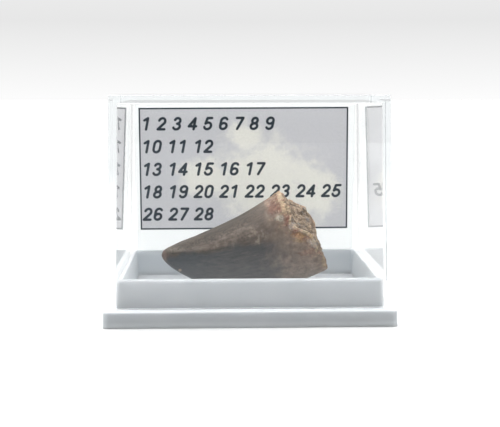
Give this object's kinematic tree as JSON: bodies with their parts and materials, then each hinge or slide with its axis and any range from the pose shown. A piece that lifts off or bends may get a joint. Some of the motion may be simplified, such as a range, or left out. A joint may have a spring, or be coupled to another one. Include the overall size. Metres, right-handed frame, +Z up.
{
  "type": "fossil mosasaur tooth in a display box",
  "caption": "Broken fossil mosasaur tooth crown lying in the white tray of a small clear display box, with a label card standing behind it.",
  "frame": {"origin": "centre of the box's footprint, on the surface that it stands on", "axes": "+X to the right along the box's width and the tooth's length, +Y to the back, +Z up"},
  "size_m": [0.0546, 0.0428, 0.0427],
  "materials": {
    "white_polystyrene": "moulded, satin",
    "clear_polystyrene": "moulded, polished",
    "printed_paper": "matt, printed",
    "fossil_enamel": "worn enamel, satin, with a rough break"
  },
  "bodies": {
    "root": {"base_tray": "white_polystyrene", "clear_cover": "clear_polystyrene", "label_card": "printed_paper", "tooth": "fossil_enamel"}
  },
  "joints": []
}
